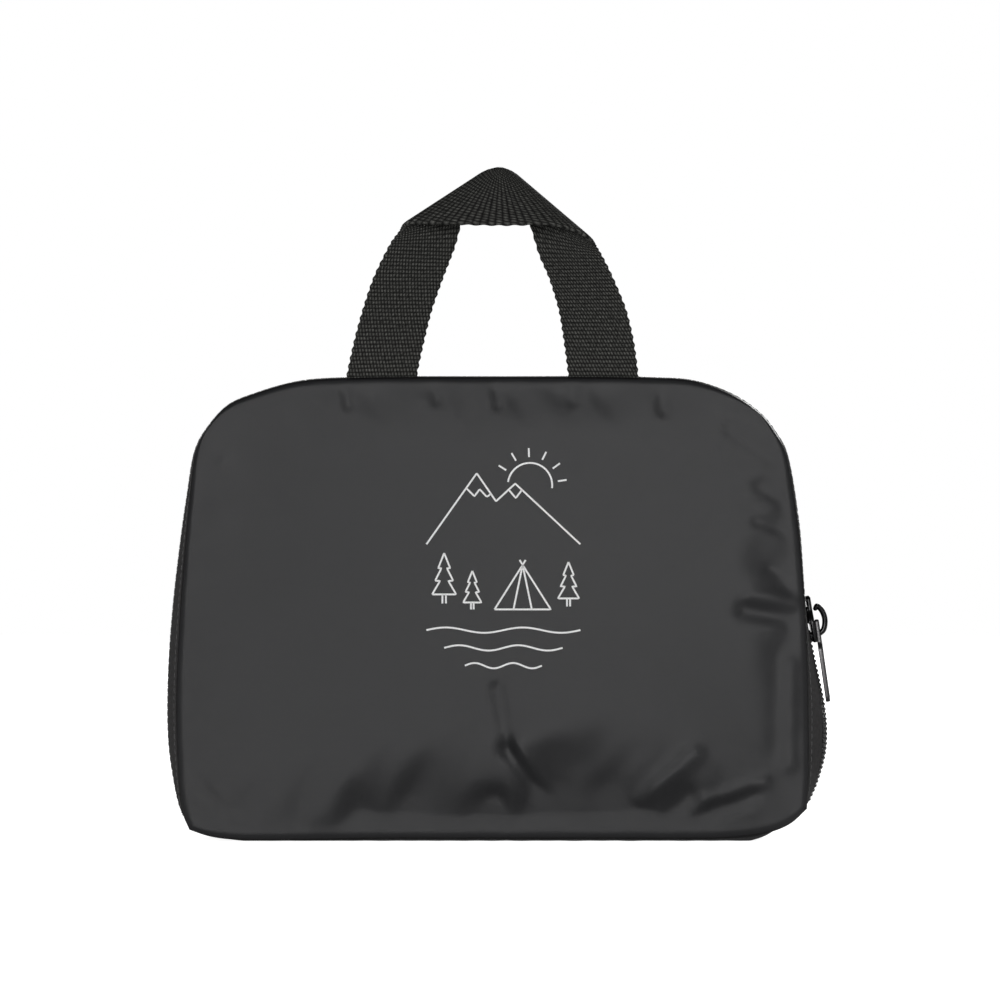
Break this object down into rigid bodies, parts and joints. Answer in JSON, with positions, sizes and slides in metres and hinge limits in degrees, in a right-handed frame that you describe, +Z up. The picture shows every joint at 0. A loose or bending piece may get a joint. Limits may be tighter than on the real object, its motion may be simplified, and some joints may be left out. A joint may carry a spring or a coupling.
{
  "type": "packable backpack packed in its own zipped pouch",
  "caption": "Dark grey backpack folded into its own zipped cloth pouch, standing upright, with a webbing carry handle and a slider with a hanging metal pull tab.",
  "frame": {"origin": "on the surface that the pouch stands on, at the middle of the part's box", "axes": "+Z up, +X to the right of someone looking at the front, -Y out of the front panel"},
  "size_m": [0.2269, 0.056, 0.2294],
  "materials": {
    "cloth": "satin",
    "zip_tape": "matte",
    "coil": "glossy",
    "slider_metal": "satin",
    "tab_metal": "polished",
    "webbing": "matte",
    "bundle_cloth": "satin"
  },
  "bodies": {
    "pouch": {"front_panel": "cloth", "back_panel": "cloth", "bottom_gusset": "cloth", "zip_tape_front": "zip_tape", "zip_tape_rear": "zip_tape", "zip_chain": "coil", "zip_row_front": "coil", "zip_row_rear": "coil", "slider": "slider_metal", "handle": "webbing", "packed_bundle": "bundle_cloth"},
    "pull": {"pull_tab": "tab_metal"}
  },
  "joints": [
    {"name": "pull_swing", "type": "hinge", "parent": "pouch", "child": "pull", "pos_m": [0.10906, 0, 0.07501], "axis": [0, -1, 0], "range_deg": [0, 150]}
  ]
}
